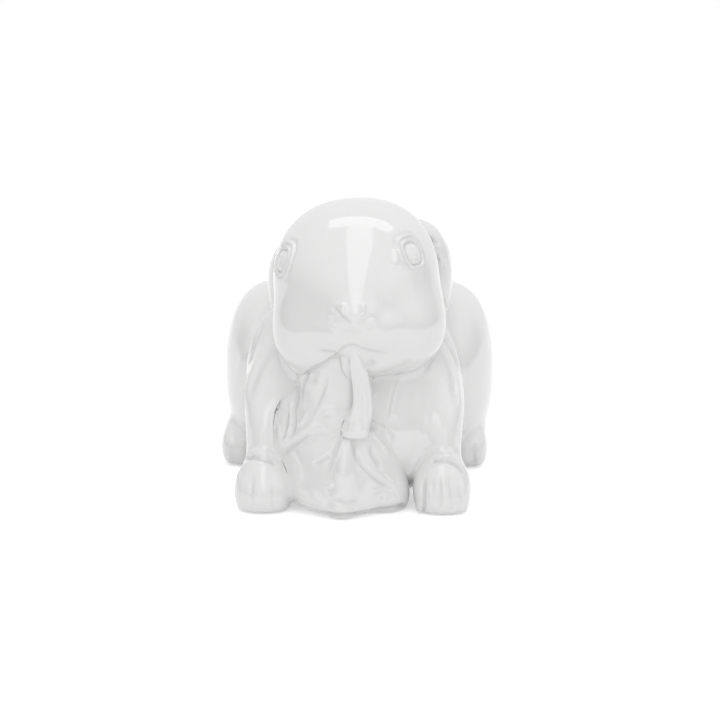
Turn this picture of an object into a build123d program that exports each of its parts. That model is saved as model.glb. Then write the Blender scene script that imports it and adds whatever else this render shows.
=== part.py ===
from build123d import *
import math
import os

os.makedirs("parts", exist_ok=True)

# A glazed earthenware lop rabbit crouching over a cabbage leaf. It faces -Y with
# +Z up, so its own left side is at +X. Each node is one casting as the potter
# lutes it on, or the felt glued under the base. The forms are first placed on a
# working origin and moved at the end, so that the origin is under the middle of
# the bounding box. All sizes are in millimetres.

# Shared by every casting
felt_thickness = 1.0
cast_wall = 4.5
ring_points = 12
cut_reach = 400.0

# Trunk: chest, back and rump
trunk_front_y = -76.0
trunk_length = 195.0
trunk_half_width = 53.0
trunk_height = 126.0
trunk_fullness = 2.3
# share of the length, then half width, underside and top as shares of their sizes
trunk_front_share = (0.0, 0.35)
trunk_shares = [
    (0.022, 0.43, 0.19, 0.50),
    (0.070, 0.76, 0.07, 0.69),
    (0.160, 0.91, -0.01, 0.83),
    (0.310, 0.92, -0.05, 0.94),
    (0.490, 0.97, -0.06, 1.00),
    (0.700, 1.00, -0.06, 0.96),
    (0.850, 0.90, -0.04, 0.82),
    (0.950, 0.62, 0.06, 0.62),
]
trunk_rear_share = (1.0, 0.35)

# Haunch: the folded thigh on each side
left_haunch_x = 44.3
right_haunch_x = -47.3
haunch_front_y = -14.0
haunch_length = 111.0
haunch_half_width = 30.5
haunch_height = 98.0
haunch_fullness = 2.4
haunch_front_share = (0.0, 0.42)
haunch_shares = [
    (0.035, 0.36, 0.23, 0.64),
    (0.130, 0.66, 0.10, 0.83),
    (0.300, 0.92, 0.02, 0.96),
    (0.520, 1.00, -0.02, 1.00),
    (0.750, 0.90, 0.02, 0.91),
    (0.920, 0.58, 0.14, 0.72),
]
haunch_rear_share = (1.0, 0.44)

# Brisket: the chest that swells down between the forelegs
brisket_place = (18.0, -50.0, 33.0)
brisket_radii = (27.0, 25.0, 30.0)

# Shoulder: the upper arm that swells from the trunk
left_shoulder_place = (40.0, -26.0, 48.0)
left_shoulder_radii = (15.5, 24.0, 40.0)
right_shoulder_place = (-41.5, -26.0, 52.0)
right_shoulder_radii = (19.5, 24.0, 44.0)

# Kiln vent through the base
base_vent_radius = 4.0
base_vent_y = 30.0
base_vent_height = 20.0

# Head
head_front_y = -99.0
head_length = 98.0
head_half_width = 43.0
head_base_z = 70.0
head_height = 87.5
head_fullness = 2.25
head_shift_x = 0.8
head_roll = 5.0
head_hollow_place = (0.0, -47.0, 116.0)
head_hollow_radii = (36.0, 39.0, 33.0)
head_front_share = (0.0, 0.39)
head_shares = [
    (0.026, 0.21, 0.29, 0.50),
    (0.071, 0.40, 0.19, 0.61),
    (0.143, 0.63, 0.10, 0.73),
    (0.255, 0.86, 0.04, 0.87),
    (0.418, 0.99, 0.02, 0.97),
    (0.600, 0.99, 0.07, 1.00),
    (0.775, 0.86, 0.16, 0.95),
    (0.918, 0.58, 0.32, 0.82),
]
head_rear_share = (1.0, 0.58)

# Cheeks, whisker pads, nose and chin: ovals that swell from the head
cheek_place = (21.8, -63.0, 91.5)
cheek_radii = (22.0, 26.0, 22.0)
pad_place = (8.0, -87.5, 96.0)
pad_radii = (11.5, 10.0, 9.5)
nose_place = (0.0, -93.0, 106.0)
nose_radii = (9.5, 6.5, 7.5)
chin_place = (3.0, -78.0, 81.5)
chin_radii = (16.0, 12.0, 9.5)

# Eyes: a ball in a raised lid, on the head's own frame
eye_ball_radius = 5.2
eye_lid_radius = 5.6
eye_lid_thickness = 1.2
left_eye_place = (31.5, -72.5, 130.0)
left_eye_turn = 40.0
right_eye_place = (-34.0, -70.5, 131.0)
right_eye_turn = -52.0

# Ears: hang from the crown, flat against the neck
ear_drop = 55.0
ear_half_thickness = 8.0
ear_half_breadth = 17.0
ear_fullness = 2.0
left_ear_place = (43.2, -11.0, 143.5)
right_ear_place = (-42.2, -11.0, 137.0)
# share of the drop, then how far the middle leans in and forward as shares of the
# thickness and breadth, then half thickness and half breadth
ear_top_share = (0.0, 1.40, 0.65)
ear_shares = [
    (0.050, 1.10, 0.60, 0.55, 0.40),
    (0.160, 0.72, 0.48, 0.84, 0.65),
    (0.310, 0.32, 0.30, 0.96, 0.86),
    (0.490, 0.08, 0.15, 0.94, 1.00),
    (0.670, 0.00, 0.06, 0.86, 0.98),
    (0.820, 0.00, 0.00, 0.76, 0.84),
    (0.930, 0.00, 0.00, 0.58, 0.58),
]
ear_tip_share = (1.0, 0.00, 0.00)

# Forelegs: from the shoulder down to the wrist, then a paw with its toes
foreleg_top_z = 86.0
foreleg_half_width = 13.2
foreleg_half_depth = 16.0
foreleg_reach = 34.0
foreleg_spread = 10.0
foreleg_fullness = 2.1
left_wrist = (45.6, -67.0)
right_wrist = (-47.5, -67.0)
# share of the height, then how far the middle lies in and back as shares of the
# spread and reach, then half width and half depth
foreleg_top_share = (0.99, 1.00, 1.00)
foreleg_shares = [
    (0.960, 0.92, 0.98, 0.52, 0.50),
    (0.880, 0.70, 0.88, 0.84, 0.80),
    (0.760, 0.38, 0.72, 0.98, 0.96),
    (0.620, 0.08, 0.50, 0.92, 0.96),
    (0.460, 0.00, 0.26, 0.80, 0.80),
    (0.300, 0.00, 0.10, 0.76, 0.68),
    (0.160, 0.00, 0.00, 0.78, 0.66),
]
foreleg_foot_share = (0.02, 0.00, 0.00)

# Paws
paw_forward = 7.0
paw_height = 13.5
left_paw_radii = (15.6, 15.0, 16.2)
right_paw_radii = (13.2, 15.0, 15.8)
left_toe_count = 5
right_toe_count = 4
toe_row_share = 0.69
toe_width_share = 0.27
toe_length_share = 0.62
toe_height_share = 0.62
toe_forward_share = 0.50
toe_drop_share = 0.36
toe_fan_share = 0.16

# Hind feet: long, flat on the floor, toes forward
foot_front_y = -2.0
foot_length = 84.0
foot_half_width = 13.0
foot_height = 26.5
foot_fullness = 2.3
left_foot_x = 58.0
right_foot_x = -64.8
foot_front_share = (0.0, 0.36)
foot_shares = [
    (0.035, 0.50, 0.05, 0.68),
    (0.120, 0.86, -0.08, 0.92),
    (0.280, 1.00, -0.10, 1.00),
    (0.550, 0.92, -0.10, 0.92),
    (0.800, 0.80, -0.06, 0.76),
    (0.940, 0.54, 0.04, 0.56),
]
foot_rear_share = (1.0, 0.30)
foot_toe_count = 3
foot_toe_radii = (4.6, 9.0, 9.2)
foot_toe_row_share = 0.60
foot_toe_height_share = 0.40
foot_toe_forward_share = 0.82

# Tail
tail_place = (0.0, 116.0, 50.0)
tail_radii = (15.0, 13.0, 19.0)

# Upper leaf: hangs from the mouth in front of the chest
# share of the drop, then how far the middle lies across and forward as shares of
# the half width and half depth, then half width and half depth
upper_leaf_top_z = 88.0
upper_leaf_drop = 66.0
upper_leaf_half_width = 23.5
upper_leaf_half_depth = 24.0
upper_leaf_x = -13.5
upper_leaf_y = -65.0
upper_leaf_shares = [
    (0.00, 0.40, 0.10, 0.30, 0.84),
    (0.20, 0.20, 0.00, 0.76, 0.80),
    (0.46, 0.08, 0.00, 0.90, 0.84),
    (0.72, 0.00, 0.00, 1.00, 0.92),
    (1.00, -0.08, 0.00, 0.96, 0.98),
]

# Lower leaf: heaped on the floor between the paws
lower_leaf_top_z = 46.0
lower_leaf_drop = 46.0
lower_leaf_half_width = 33.0
lower_leaf_half_depth = 38.0
lower_leaf_x = -6.5
lower_leaf_y = -60.5
lower_leaf_shares = [
    (0.00, 0.30, 0.00, 0.36, 0.64),
    (0.14, 0.04, 0.00, 0.70, 0.78),
    (0.38, 0.00, 0.00, 0.95, 0.91),
    (0.64, 0.00, 0.00, 1.00, 0.98),
    (0.86, 0.00, 0.00, 0.94, 1.00),
    (1.00, 0.06, 0.00, 0.70, 0.92),
]

# Ribs: the thick midrib of each leaf, which stands out from its front
upper_rib_top_z = 93.0
upper_rib_drop = 51.0
upper_rib_half_width = 7.4
upper_rib_half_depth = 6.0
upper_rib_x = 0.0
upper_rib_y = -88.5
upper_rib_shares = [
    (0.00, 0.04, 0.60, 0.38, 0.50),
    (0.10, 0.10, 0.55, 0.46, 0.62),
    (0.26, 0.31, 0.48, 0.56, 0.72),
    (0.60, 0.62, 0.28, 0.65, 0.84),
    (0.80, 0.45, 0.08, 0.89, 0.98),
    (0.93, 0.18, 0.00, 0.88, 1.05),
    (1.00, 0.13, 0.00, 0.76, 0.88),
]
lower_rib_top_z = 44.0
lower_rib_drop = 44.0
lower_rib_half_width = 7.4
lower_rib_half_depth = 7.0
lower_rib_x = -5.5
lower_rib_y = -93.5
lower_rib_shares = [
    (0.00, 0.40, -1.50, 0.48, 0.90),
    (0.30, 0.22, -0.55, 0.66, 0.96),
    (0.58, 0.04, -0.10, 0.84, 1.00),
    (0.84, -0.06, 0.00, 1.00, 1.00),
    (0.96, -0.06, 0.00, 0.90, 0.84),
    (1.00, -0.06, 0.00, 0.70, 0.60),
]
leaf_fullness = 2.0

# Felt under the base
felt_half_width = 26.0
felt_half_length = 46.0
felt_y = 26.0
felt_fullness = 2.6


def superellipse(half_width, half_height, fullness):
    """Points round an oval from its foot, squarer as its fullness rises above 2."""
    points = []
    for step in range(ring_points):
        turn = 2 * math.pi * step / ring_points
        across = math.copysign(abs(math.sin(turn)) ** (2 / fullness), math.sin(turn))
        up = -math.copysign(abs(math.cos(turn)) ** (2 / fullness), math.cos(turn))
        points.append((across * half_width, up * half_height))
    return points


def closed_face(points):
    """A face inside a smooth closed curve, with its points evenly spread along it."""
    knots = [step / len(points) for step in range(len(points) + 1)]
    curve = Edge.make_spline([Vector(*point) for point in points], periodic=True, parameters=knots)
    return Face(Wire([curve]))


def standing_ring(x, y, half_width, low, high, fullness):
    """A section that stands across the length, from low to high."""
    outline = superellipse(half_width, (high - low) / 2, fullness)
    middle = (low + high) / 2
    return closed_face([(x + a, y, middle + b) for a, b in outline])


def level_ring(x, y, z, half_width, half_depth, fullness):
    """A level section at height z."""
    outline = superellipse(half_width, half_depth, fullness)
    return closed_face([(x + a, y - b, z) for a, b in outline])


def lengthwise_form(x, front, length, half_width, height, base, fullness, nose, rows, tail):
    """A loft along Y through standing rings, pinched to a point at both ends."""
    start = Vertex(x, front + nose[0] * length, base + nose[1] * height)
    end = Vertex(x, front + tail[0] * length, base + tail[1] * height)
    rings = []
    for along, wide, low, high in rows:
        bottom, top = base + low * height, base + high * height
        rings.append(standing_ring(x, front + along * length, wide * half_width, bottom, top, fullness))
    return loft([start, *rings, end])


def drawn_in(form):
    """A form made smaller by the cast wall on every side, for the hollow inside it."""
    box = form.bounding_box()
    middle = box.center()
    shares = tuple(1 - 2 * cast_wall / size for size in (box.size.X, box.size.Y, box.size.Z))
    shift = tuple(at * (1 - share) for at, share in zip(middle, shares))
    return Pos(*shift) * scale(form, by=shares)


def oval_form(place, radii):
    """An ellipsoid with its middle at place."""
    return Pos(*place) * scale(Sphere(1), by=radii)


def above_floor(form):
    """Cuts a form flat where the fired base was sponged level."""
    ground = Box(cut_reach, cut_reach, cut_reach, align=(Align.CENTER, Align.CENTER, Align.MAX))
    return form - Pos(0, 0, felt_thickness) * ground


def keep_largest(form):
    """Drops slivers that a cut leaves beside the real piece."""
    return max(form.solids(), key=lambda solid: solid.volume)


def boxes_meet(one, other):
    """True where the bounding boxes of two forms overlap."""
    a, b = one.bounding_box(), other.bounding_box()
    return all(
        low < high
        for low, high in (
            (max(a.min.X, b.min.X), min(a.max.X, b.max.X)),
            (max(a.min.Y, b.min.Y), min(a.max.Y, b.max.Y)),
            (max(a.min.Z, b.min.Z), min(a.max.Z, b.max.Z)),
        )
    )


def fuse_all(forms):
    """One form from several that overlap."""
    return forms[0].fuse(*forms[1:])


def body_forms():
    """The trunk and both haunches."""
    forms = [lengthwise_form(
        0, trunk_front_y, trunk_length, trunk_half_width, trunk_height, 0,
        trunk_fullness, trunk_front_share, trunk_shares, trunk_rear_share,
    )]
    for haunch_x in (left_haunch_x, right_haunch_x):
        forms.append(lengthwise_form(
            haunch_x, haunch_front_y, haunch_length, haunch_half_width, haunch_height, 0,
            haunch_fullness, haunch_front_share, haunch_shares, haunch_rear_share,
        ))
    return forms


def chest_forms():
    """The swelling of the brisket and of each upper arm."""
    return [
        oval_form(brisket_place, brisket_radii),
        oval_form(left_shoulder_place, left_shoulder_radii),
        oval_form(right_shoulder_place, right_shoulder_radii),
    ]


def tilt_head(form):
    """Rolls a form with the head about the line of the nose, and shifts it."""
    nose_z = nose_place[2]
    return Pos(head_shift_x, 0, nose_z) * Rot(0, -head_roll, 0) * Pos(0, 0, -nose_z) * form


def skull_form():
    """The egg of the head."""
    return lengthwise_form(
        0, head_front_y, head_length, head_half_width, head_height, head_base_z,
        head_fullness, head_front_share, head_shares, head_rear_share,
    )


def eye_forms(place, turn):
    """A ball and its raised round lid, turned outwards."""
    lid = Pos(0, -eye_lid_thickness, 0) * Rot(90, 0, 0) * Torus(eye_lid_radius, eye_lid_thickness)
    return [Pos(*place) * Rot(0, 0, turn) * form for form in (Sphere(eye_ball_radius), lid)]


def face_forms():
    """Cheeks, whisker pads, nose, chin and eyes."""
    forms = [oval_form(nose_place, nose_radii), oval_form(chin_place, chin_radii)]
    for side in (-1, 1):
        forms.append(oval_form((side * cheek_place[0], *cheek_place[1:]), cheek_radii))
        forms.append(oval_form((side * pad_place[0], *pad_place[1:]), pad_radii))
    forms += eye_forms(left_eye_place, left_eye_turn) + eye_forms(right_eye_place, right_eye_turn)
    return [tilt_head(form) for form in forms]


def make_ear(place):
    """A lop ear hanging from the crown: thick at the root, broad below, round at the tip."""
    x, y, top_z = place
    side = math.copysign(1, x)

    def middle(lean_in, lean_forward):
        return x - side * lean_in * ear_half_thickness, y - lean_forward * ear_half_breadth

    def end(row):
        return Vertex(*middle(row[1], row[2]), top_z - row[0] * ear_drop)

    rings = []
    for down, lean_in, lean_forward, thick, broad in ear_shares:
        at = middle(lean_in, lean_forward)
        z = top_z - down * ear_drop
        rings.append(level_ring(*at, z, thick * ear_half_thickness, broad * ear_half_breadth, ear_fullness))
    return loft([end(ear_top_share), *rings, end(ear_tip_share)])


def make_foreleg(wrist, paw_radii, toe_count):
    """A leg that leans forward from the shoulder to the wrist, with its paw and toes."""
    side = math.copysign(1, wrist[0])

    def middle(spread, reach):
        return wrist[0] - side * spread * foreleg_spread, wrist[1] + reach * foreleg_reach

    def end(row):
        return Vertex(*middle(row[1], row[2]), row[0] * foreleg_top_z)

    rings = []
    for up, spread, reach, wide, deep in foreleg_shares:
        at = middle(spread, reach)
        half = (wide * foreleg_half_width, deep * foreleg_half_depth)
        rings.append(level_ring(*at, up * foreleg_top_z, *half, foreleg_fullness))
    forms = [loft([end(foreleg_top_share), *rings, end(foreleg_foot_share)])]
    paw_place = (wrist[0], wrist[1] - paw_forward, paw_height)
    forms.append(oval_form(paw_place, paw_radii))
    for number in range(toe_count):
        across = 2 * number / (toe_count - 1) - 1
        toe_place = (
            paw_place[0] + across * toe_row_share * paw_radii[0],
            paw_place[1] - (toe_forward_share - toe_fan_share * across**2) * paw_radii[1],
            paw_place[2] - toe_drop_share * paw_radii[2],
        )
        toe_radii = (
            toe_width_share * paw_radii[0],
            toe_length_share * paw_radii[1],
            toe_height_share * paw_radii[2],
        )
        forms.append(oval_form(toe_place, toe_radii))
    return above_floor(fuse_all(forms))


def make_hind_foot(x):
    """A long flat foot with three toes in front."""
    forms = [lengthwise_form(
        x, foot_front_y, foot_length, foot_half_width, foot_height, 0,
        foot_fullness, foot_front_share, foot_shares, foot_rear_share,
    )]
    for number in range(foot_toe_count):
        across = 2 * number / (foot_toe_count - 1) - 1
        toe_place = (
            x + across * foot_toe_row_share * foot_half_width,
            foot_front_y + foot_toe_forward_share * foot_toe_radii[1],
            foot_toe_height_share * foot_height,
        )
        forms.append(oval_form(toe_place, foot_toe_radii))
    return above_floor(fuse_all(forms))


def make_leaf(x, y, top, drop, half_width, half_depth, rows):
    """A leaf or its rib as a loft of level sections, from its top row down."""
    rings = []
    for down, across, forward, wide, deep in rows:
        at = (x + across * half_width, y - forward * half_depth, top - down * drop)
        rings.append(level_ring(*at, wide * half_width, deep * half_depth, leaf_fullness))
    return above_floor(loft(rings))


def make_felt():
    """The felt glued under the body, which covers the base vent."""
    outline = superellipse(felt_half_width, felt_half_length, felt_fullness)
    return extrude(closed_face([(a, felt_y + b, 0) for a, b in outline]), amount=felt_thickness)


# The two hollow castings. The body breathes in the kiln through the hole in its base.
body = above_floor(fuse_all(body_forms() + chest_forms()))
head = fuse_all([tilt_head(skull_form())] + face_forms())
head_hollow = tilt_head(oval_form(head_hollow_place, head_hollow_radii))
floor_of_hollow = Box(cut_reach, cut_reach, cut_reach, align=(Align.CENTER, Align.CENTER, Align.MAX))
body_hollow = fuse_all([drawn_in(form) for form in body_forms()])
body_hollow = body_hollow - Pos(0, 0, felt_thickness + cast_wall) * floor_of_hollow
base_vent = Cylinder(base_vent_radius, base_vent_height, align=(Align.CENTER, Align.CENTER, Align.MIN))
base_vent = Pos(0, base_vent_y, 0) * base_vent

# Every later form is cut by the ones it is luted on to, so they meet face to face.
forms = [
    ("foreleg_left", make_foreleg(left_wrist, left_paw_radii, left_toe_count)),
    ("foreleg_right", make_foreleg(right_wrist, right_paw_radii, right_toe_count)),
    ("hind_foot_left", make_hind_foot(left_foot_x)),
    ("hind_foot_right", make_hind_foot(right_foot_x)),
    ("ear_left", make_ear(left_ear_place)),
    ("ear_right", make_ear(right_ear_place)),
    ("tail", oval_form(tail_place, tail_radii)),
    ("rib_upper", make_leaf(
        upper_rib_x, upper_rib_y, upper_rib_top_z, upper_rib_drop,
        upper_rib_half_width, upper_rib_half_depth, upper_rib_shares,
    )),
    ("leaf_upper", make_leaf(
        upper_leaf_x, upper_leaf_y, upper_leaf_top_z, upper_leaf_drop,
        upper_leaf_half_width, upper_leaf_half_depth, upper_leaf_shares,
    )),
    ("rib_lower", make_leaf(
        lower_rib_x, lower_rib_y, lower_rib_top_z, lower_rib_drop,
        lower_rib_half_width, lower_rib_half_depth, lower_rib_shares,
    )),
    ("leaf_lower", make_leaf(
        lower_leaf_x, lower_leaf_y, lower_leaf_top_z, lower_leaf_drop,
        lower_leaf_half_width, lower_leaf_half_depth, lower_leaf_shares,
    )),
]

pieces = {
    "base_felt": make_felt(),
    "body_shell": keep_largest(body - body_hollow - base_vent),
    "head_shell": keep_largest(head - body - head_hollow),
}
fixed = [body, head]
for name, form in forms:
    near = [other for other in fixed if boxes_meet(form, other)]
    pieces[name] = keep_largest(form.cut(*near))
    fixed.append(form)

boxes = [piece.bounding_box() for piece in pieces.values()]
middle_x = (min(box.min.X for box in boxes) + max(box.max.X for box in boxes)) / 2
middle_y = (min(box.min.Y for box in boxes) + max(box.max.Y for box in boxes)) / 2
for name, piece in pieces.items():
    export_step(Pos(-middle_x, -middle_y, 0) * piece, f"parts/{name}.step")
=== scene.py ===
import math

import bpy
import numpy as np
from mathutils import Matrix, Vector


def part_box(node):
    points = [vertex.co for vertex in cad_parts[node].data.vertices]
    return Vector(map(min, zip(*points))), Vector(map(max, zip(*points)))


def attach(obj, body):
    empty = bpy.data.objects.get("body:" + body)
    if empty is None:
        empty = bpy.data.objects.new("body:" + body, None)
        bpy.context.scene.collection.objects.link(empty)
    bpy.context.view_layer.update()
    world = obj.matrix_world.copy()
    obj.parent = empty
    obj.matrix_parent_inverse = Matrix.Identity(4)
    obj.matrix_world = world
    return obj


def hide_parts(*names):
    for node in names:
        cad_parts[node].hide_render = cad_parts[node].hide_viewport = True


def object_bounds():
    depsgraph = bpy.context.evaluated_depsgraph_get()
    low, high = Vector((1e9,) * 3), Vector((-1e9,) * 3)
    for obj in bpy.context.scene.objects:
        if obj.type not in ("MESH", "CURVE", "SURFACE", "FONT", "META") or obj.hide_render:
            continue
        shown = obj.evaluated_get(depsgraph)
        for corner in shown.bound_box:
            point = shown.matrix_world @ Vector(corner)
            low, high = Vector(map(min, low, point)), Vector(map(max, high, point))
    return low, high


# A glazed white rabbit that crouches over a cabbage leaf. Shapes are worked out in millimetres on
# the potter's own origin, and moved onto the frame when their mesh is made.

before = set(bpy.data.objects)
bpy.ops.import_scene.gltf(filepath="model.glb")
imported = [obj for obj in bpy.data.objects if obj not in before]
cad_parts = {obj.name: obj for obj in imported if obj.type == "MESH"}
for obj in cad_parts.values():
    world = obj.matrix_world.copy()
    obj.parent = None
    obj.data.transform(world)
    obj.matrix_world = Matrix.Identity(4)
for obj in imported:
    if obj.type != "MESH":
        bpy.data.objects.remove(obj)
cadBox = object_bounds()
print("frame loaded, nodes:", len(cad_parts))

perMetre = 1000     # millimetres
feltMiddle = [(low + high) / 2 * perMetre for low, high in zip(*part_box("base_felt"))]
work = {
    "feltPlace": (0.0, 26.0),     # where the felt's middle is on the potter's origin
    "floorCut": 1.0,              # the glazed base is level at this height, on the felt
    "floorSoft": 1.2,             # how round its lower edge is
    "fineness": 1.0,
    "boxMargin": 2e-5,            # metres that every skin keeps inside the model's box
}
shift = np.array([feltMiddle[0] - work["feltPlace"][0], feltMiddle[1] - work["feltPlace"][1], 0.0])
sight = {"azimuth": 2.0, "elevation": 13.0, "distance": 1100.0, "aimZ": 61.6}   # where it is looked at from
around, above = math.radians(sight["azimuth"]), math.radians(sight["elevation"])
eyePoint = np.array([
    math.sin(around) * math.cos(above) * sight["distance"],
    -math.cos(around) * math.cos(above) * sight["distance"],
    sight["aimZ"] + math.sin(above) * sight["distance"],
])


# Curves and forms. A form is a function that gives, for points, the rough distance to its skin.

def smoothCurve(places, values):
    # natural cubic spline: the second slopes come from one small linear system
    places = np.asarray(places, float)
    values = np.asarray(values, float)
    step = np.diff(places)
    inner = np.arange(1, len(places) - 1)
    system = np.eye(len(places))
    system[inner, inner - 1] = step[:-1]
    system[inner, inner] = 2 * (step[:-1] + step[1:])
    system[inner, inner + 1] = step[1:]
    wanted = np.zeros(values.shape)
    steepness = np.diff(values, axis=0) / step.reshape(-1, *[1] * (values.ndim - 1))
    wanted[inner] = 6 * np.diff(steepness, axis=0)
    bend = np.linalg.solve(system, wanted)

    def read(at):
        at = np.clip(at, places[0], places[-1])
        cell = np.clip(np.searchsorted(places, at, side="right") - 1, 0, len(step) - 1)
        width = step[cell].reshape(-1, *[1] * (values.ndim - 1))
        t = (at - places[cell]).reshape(width.shape)
        first = steepness[cell] - width * (2 * bend[cell] + bend[cell + 1]) / 6
        third = (bend[cell + 1] - bend[cell]) / width
        value = values[cell] + t * (first + t * (bend[cell] / 2 + t * third / 6))
        slope = first + t * (bend[cell] + t * third / 2)
        return value, slope
    return read


def smoothStep(t):
    t = np.clip(t, 0, 1)
    return t * t * (3 - 2 * t)


def softMin(a, b, soft):
    # the smaller of two, rounded off by a parabola where they are within soft of each other
    h = np.maximum(soft - np.abs(a - b), 0) / soft
    return np.minimum(a, b) - h * h * soft / 4


def softMax(a, b, soft):
    return -softMin(-a, -b, soft)


def oval(place, radii):
    # ellipsoid: k0 (k0 - 1) / k1, with k0 = |p / r| and k1 = |p / r^2|
    place, radii = np.array(place, float), np.array(radii, float)

    def read(p):
        q = p - place
        k0 = np.linalg.norm(q / radii, axis=1)
        k1 = np.linalg.norm(q / radii**2, axis=1) + 1e-9
        return k0 * (k0 - 1) / k1
    return read


def stack(axis, rows, fullness, openEnds=0.0):
    # sections along one axis. Each row is (place, middle a, middle b, half size a, half size b).
    # With m the smaller half size and rho = q m, the skin is where rho^2 = m^2, and
    # (rho^2 - m^2) divided by the length of its slope is the distance
    rows = np.array(rows, float)
    table = smoothCurve(rows[:, 0], np.concatenate([rows[:, 1:3], rows[:, 3:5]**2], axis=1))
    low, high = rows[0, 0], rows[-1, 0]
    others = [i for i in range(3) if i != axis]

    def read(p):
        value, slope = table(p[:, axis])
        squares = np.maximum(value[:, 2:4], 1e-3)
        small = squares.min(1)
        smallSlope = np.where(squares[:, 0] < squares[:, 1], slope[:, 2], slope[:, 3]) / 2
        across = np.abs(p[:, others] - value[:, 0:2]) * np.sqrt(small[:, None] / squares)
        rho2 = (across**fullness).sum(1)**(2 / fullness)
        steep = smallSlope**2
        side = (rho2 - small) / (np.sqrt(rho2 + steep) + np.sqrt(small + steep))
        beyond = np.maximum(low - p[:, axis], p[:, axis] - high)
        if openEnds:
            return softMax(side, beyond, openEnds)
        return side + np.maximum(beyond, 0)
    return read


def joined(first, *more):
    # forms that flow into each other: each later one comes with the softness of its join
    def read(p):
        f = first(p)
        for form, soft in more:
            f = softMin(f, form(p), soft)
        return f
    return read


def aboveFloor(form):
    return lambda p: softMax(form(p), work["floorCut"] - p[:, 2], work["floorSoft"])


# From a form to a mesh

# the steps of each ray, first plain ones and then along the secant, as shares of the form's distance
search = {"plainSteps": 18, "steps": 34, "plainShare": 0.92, "pushShare": 0.8, "mostShare": 2.5}


def gridFaces(rings, columns):
    # quads between rings of points, and triangles to the one point that closes each pole
    ids = 1 + np.arange(rings * columns).reshape(rings, columns)
    right = np.roll(ids, -1, axis=1)
    quads = np.stack([ids[:-1], right[:-1], right[1:], ids[1:]], -1).reshape(-1, 4)
    first, last = np.zeros(columns, int), np.full(columns, rings * columns + 1)
    caps = [np.stack([first, right[0], ids[0]], -1), np.stack([last, ids[-1], right[-1]], -1)]
    return quads, np.concatenate(caps)


def castForm(form, cast):
    # grid of rays: row angle t from 180 to 0 degrees about a line from start to end, column angle
    # round it. Each ray runs inwards until the form's distance is zero, and the last steps follow
    # the secant.
    rows, columns = int(cast["rows"] * work["fineness"]), int(cast["columns"] * work["fineness"])
    start, end = np.array(cast["start"], float), np.array(cast["end"], float)
    along = (end - start) / np.linalg.norm(end - start)
    u = np.array(cast.get("front", (0, -1, 0)), float)
    u = u - along * (u @ along)
    u /= np.linalg.norm(u)
    v = np.cross(along, u)
    share = np.arange(1, rows) / rows
    if "rowPlan" in cast:
        share = np.interp(share, *cast["rowPlan"])
    angle = math.pi * (1 - np.concatenate([[0], share, [1]]))
    turn = np.arange(columns) / columns * 2 * math.pi
    turn = turn - cast.get("crowd", 0.0) * np.sin(turn)
    ring = np.cos(turn)[:, None] * u + np.sin(turn)[:, None] * v
    way = np.cos(angle)[:, None, None] * along + np.sin(angle)[:, None, None] * ring
    base = start + (end - start) * ((1 + np.cos(angle)) / 2)[:, None, None] + way * 0
    way = np.concatenate([way[:1, 0], way[1:-1].reshape(-1, 3), way[-1:, 0]])
    base = np.concatenate([base[:1, 0], base[1:-1].reshape(-1, 3), base[-1:, 0]])
    far = np.full(len(way), float(cast["reach"]))
    near = form(base + way * far[:, None])
    for number in range(search["steps"]):
        if number < search["plainSteps"]:
            further = far - search["plainShare"] * near
        else:
            gap = np.where(np.abs(near - lastNear) < 1e-7, 1.0, near - lastNear)
            move = -near * (far - lastFar) / gap
            plain = -search["pushShare"] * near
            move = np.where(np.isfinite(move) & (move * plain > 0), move, plain)
            limit = search["mostShare"] * np.abs(near) + 1e-6
            further = far + np.clip(move, -limit, limit)
        lastFar, lastNear = far, near
        far, near = further, form(base + way * further[:, None])
    points = base + way * far[:, None]
    return points, *facingOut(points, *gridFaces(rows - 1, columns))


def corners(quads, caps):
    return np.concatenate([quads[:, :3], quads[:, [0, 2, 3]], caps])


def enclosed(points, quads, caps):
    # signed volume: a sixth of the sum of each triangle's triple product
    a, b, c = (points[corners(quads, caps)[:, i]] for i in range(3))
    return (a * np.cross(b, c)).sum() / 6


def facingOut(points, quads, caps):
    if enclosed(points, quads, caps) < 0:
        return quads[:, ::-1], caps[:, ::-1]
    return quads, caps


def normalsOf(points, quads, caps):
    # area-weighted sum of the faces' normals round each point
    triangles = corners(quads, caps)
    a, b, c = (points[triangles[:, i]] for i in range(3))
    face = np.cross(b - a, c - a)
    total = np.stack([
        sum(np.bincount(triangles[:, i], face[:, k], len(points)) for i in range(3)) for k in range(3)
    ], 1)
    return total / (np.linalg.norm(total, axis=1, keepdims=True) + 1e-12)


boxLow, boxHigh = (np.array(corner) for corner in cadBox)
glazing = {"rampShare": 0.8, "mostShare": 0.55, "rounds": 4, "nudge": 0.02, "leastSlope2": 0.25}


def glazeOver(points, own, neighbours):
    # the glaze rounds each crease: near a neighbour a point steps down the slope of the soft
    # minimum of the forms until that is zero, and the move fades for points inside the neighbour
    fade, most = np.zeros(len(points)), np.zeros(len(points))
    for form, soft in neighbours:
        at = form(points)
        near = smoothStep((at + soft) / (glazing["rampShare"] * soft))
        fade = np.maximum(fade, near * (at < soft))
        most = np.maximum(most, np.where(at < soft, glazing["mostShare"] * soft, 0))
    chosen = np.nonzero(fade > 0)[0]
    together = joined(own, *neighbours)
    p = points[chosen].copy()
    nudge = glazing["nudge"]
    for _ in range(glazing["rounds"]):
        f = together(p)
        slope = np.stack([(together(p + nudge * np.eye(3)[i]) - f) / nudge for i in range(3)], 1)
        size2 = np.maximum((slope**2).sum(1), glazing["leastSlope2"])
        p -= slope * (f / size2)[:, None]
    move = p - points[chosen]
    length = np.linalg.norm(move, axis=1) + 1e-9
    move *= (fade[chosen] * np.minimum(1, most[chosen] / length))[:, None]
    points = points.copy()
    points[chosen] += move
    return points


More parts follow.
